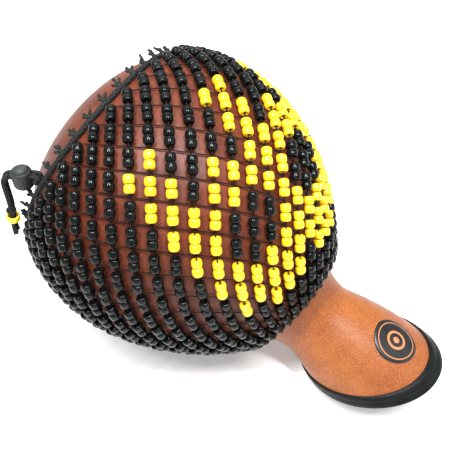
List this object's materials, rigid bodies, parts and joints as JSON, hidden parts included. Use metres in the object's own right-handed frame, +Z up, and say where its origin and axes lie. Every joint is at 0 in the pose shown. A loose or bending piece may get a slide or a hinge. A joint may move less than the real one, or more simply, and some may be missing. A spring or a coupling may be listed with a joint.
{
  "type": "shekere",
  "caption": "Round shell rattle on a waisted, obliquely cut hollow handle, with a turning net of threaded beads closed by a cord lock.",
  "frame": {"origin": "on the surface the gourd lies on, under the middle of its box without the free cord tail", "axes": "+X runs from the dome to the handle along the floor, +Z up; the gourd axis dips 29.2 degrees towards the handle, and the badge is on the upper side"},
  "size_m": [0.3548, 0.2392, 0.243],
  "materials": {
    "lacquered_shell": "reddish brown lacquered fibreglass, gloss",
    "speckled_shell": "lacquered orange tan fibreglass with fine speckle, gloss",
    "rubber_trim": "semi matte",
    "badge_black": "satin",
    "bead_black": "gloss",
    "bead_yellow": "gloss",
    "thread": "waxed twisted thread",
    "cord": "braided cord",
    "lock_plastic": "satin",
    "spring_steel": "drawn wire"
  },
  "bodies": {
    "gourd": {"dome_shell": "lacquered_shell", "belly_shell": "lacquered_shell", "handle_shell": "speckled_shell", "foot_trim": "rubber_trim", "badge": "badge_black"},
    "net": {"black_beads_row_01": "bead_black", "black_beads_row_02": "bead_black", "black_beads_row_03": "bead_black", "black_beads_row_04": "bead_black", "black_beads_row_05": "bead_black", "black_beads_row_06": "bead_black", "black_beads_row_07": "bead_black", "black_beads_row_08": "bead_black", "black_beads_row_09": "bead_black", "black_beads_row_10": "bead_black", "black_beads_row_11": "bead_black", "black_beads_row_12": "bead_black", "black_beads_row_13": "bead_black", "black_beads_row_14": "bead_black", "black_beads_row_15": "bead_black", "black_beads_row_16": "bead_black", "black_beads_row_17": "bead_black", "black_beads_row_18": "bead_black", "yellow_beads_row_05": "bead_yellow", "yellow_beads_row_06": "bead_yellow", "yellow_beads_row_07": "bead_yellow", "yellow_beads_row_08": "bead_yellow", "yellow_beads_row_09": "bead_yellow", "yellow_beads_row_10": "bead_yellow", "yellow_beads_row_11": "bead_yellow", "yellow_beads_row_12": "bead_yellow", "yellow_beads_row_13": "bead_yellow", "yellow_beads_row_14": "bead_yellow", "yellow_beads_row_15": "bead_yellow", "yellow_beads_row_16": "bead_yellow", "bead_threads": "thread", "cross_threads": "thread", "fringe_tufts": "thread", "dome_drawstring": "cord", "neck_cord": "cord", "lock_body": "lock_plastic", "lock_spring": "spring_steel", "lock_cord": "cord", "tail_cord": "cord", "tail_knot": "cord", "tail_band": "bead_yellow", "tail_ends": "cord"},
    "button": {"lock_button": "lock_plastic"}
  },
  "joints": [
    {"name": "net_turn", "type": "hinge", "parent": "gourd", "child": "net", "pos_m": [-0.05893, 0, 0.12046], "axis": [0.8726, 0, -0.4884], "continuous": true},
    {"name": "button_press", "type": "slide", "parent": "net", "child": "button", "axis": [0, 0, 1], "range_m": [-0.002, 0], "stiffness_N_per_m": 400, "springref_m": 0.004, "deforming": ["lock_spring"]}
  ]
}
